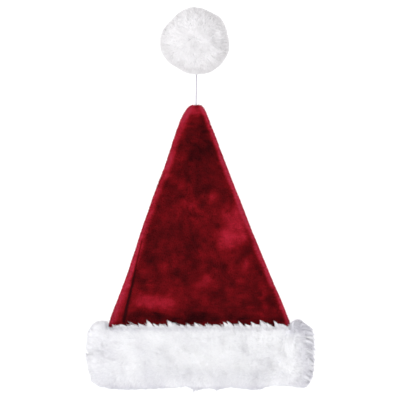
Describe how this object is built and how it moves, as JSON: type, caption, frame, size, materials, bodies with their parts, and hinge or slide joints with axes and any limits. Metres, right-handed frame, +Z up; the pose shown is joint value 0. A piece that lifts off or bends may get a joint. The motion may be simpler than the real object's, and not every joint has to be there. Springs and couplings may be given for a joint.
{
  "type": "santa hat",
  "caption": "Soft red plush cone hat with a deep white fur cuff and a fur pompom on a thin cord, lying flat on its back.",
  "frame": {"origin": "middle of the outline of the hat, cuff and pompom, on the floor that it lies on", "axes": "+Z up from the floor, +Y from the mouth towards the tip and the pompom, +X to the right as seen from above"},
  "size_m": [0.3139, 0.52, 0.0922],
  "materials": {
    "plush": "short-pile red plush velour, crushed in places",
    "knit": "plain white knit ground",
    "fur": "long white faux fur, matt and lumpy",
    "pompom_fur": "dense white faux fur",
    "cord": "thin twisted pale cord"
  },
  "bodies": {
    "root": {"crown": "plush", "cuff_backing": "knit", "cuff_fur": "fur", "pompom": "pompom_fur", "pompom_cord": "cord", "cord_knot": "cord"}
  },
  "joints": []
}
